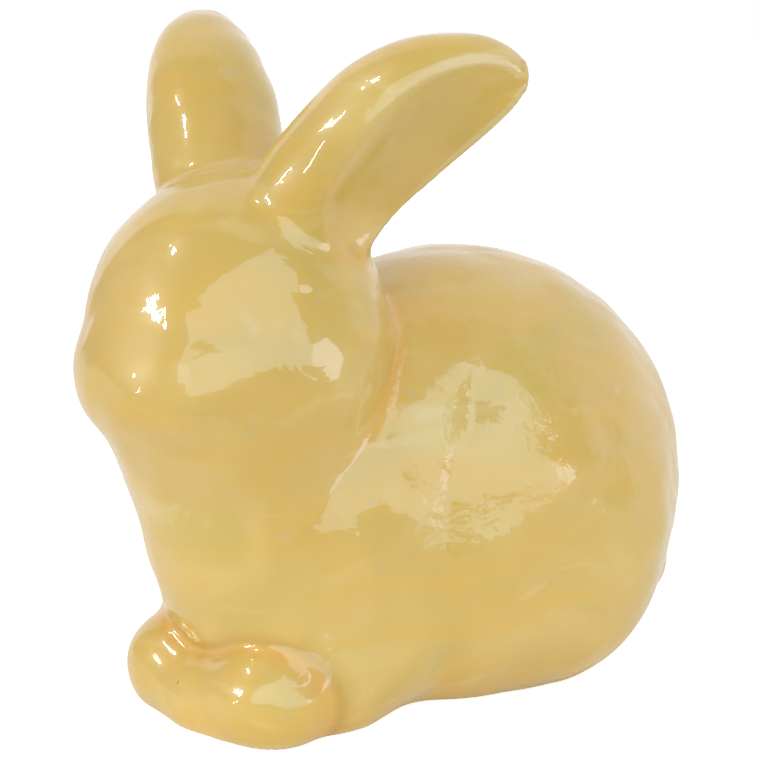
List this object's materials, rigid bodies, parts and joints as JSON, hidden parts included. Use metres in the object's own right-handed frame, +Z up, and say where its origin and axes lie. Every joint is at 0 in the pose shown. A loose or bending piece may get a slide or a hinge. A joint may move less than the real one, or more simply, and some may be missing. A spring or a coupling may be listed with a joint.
{
  "type": "rabbit figurine",
  "caption": "Hollow cast ceramic rabbit figurine, crouching, with plump ears bent back and outwards, forepaws, a short tail and a flat sole; a free-standing glazed ornament.",
  "frame": {"origin": "middle of the bounding box, at the level of the flat sole", "axes": "+Z up, -Y the way the nose points, +X towards the rabbit's own left ear; the figure is the same on both sides of the plane X = 0"},
  "size_m": [0.1002, 0.1504, 0.1383],
  "materials": {
    "glaze": "high gloss yellow lustre glaze",
    "bare_clay": "matt fired clay"
  },
  "bodies": {
    "root": {"torso_shell": "glaze", "head_shell": "glaze", "left_ear": "glaze", "right_ear": "glaze", "left_forepaw": "glaze", "right_forepaw": "glaze", "tail": "glaze", "base_disc": "bare_clay"}
  },
  "joints": []
}
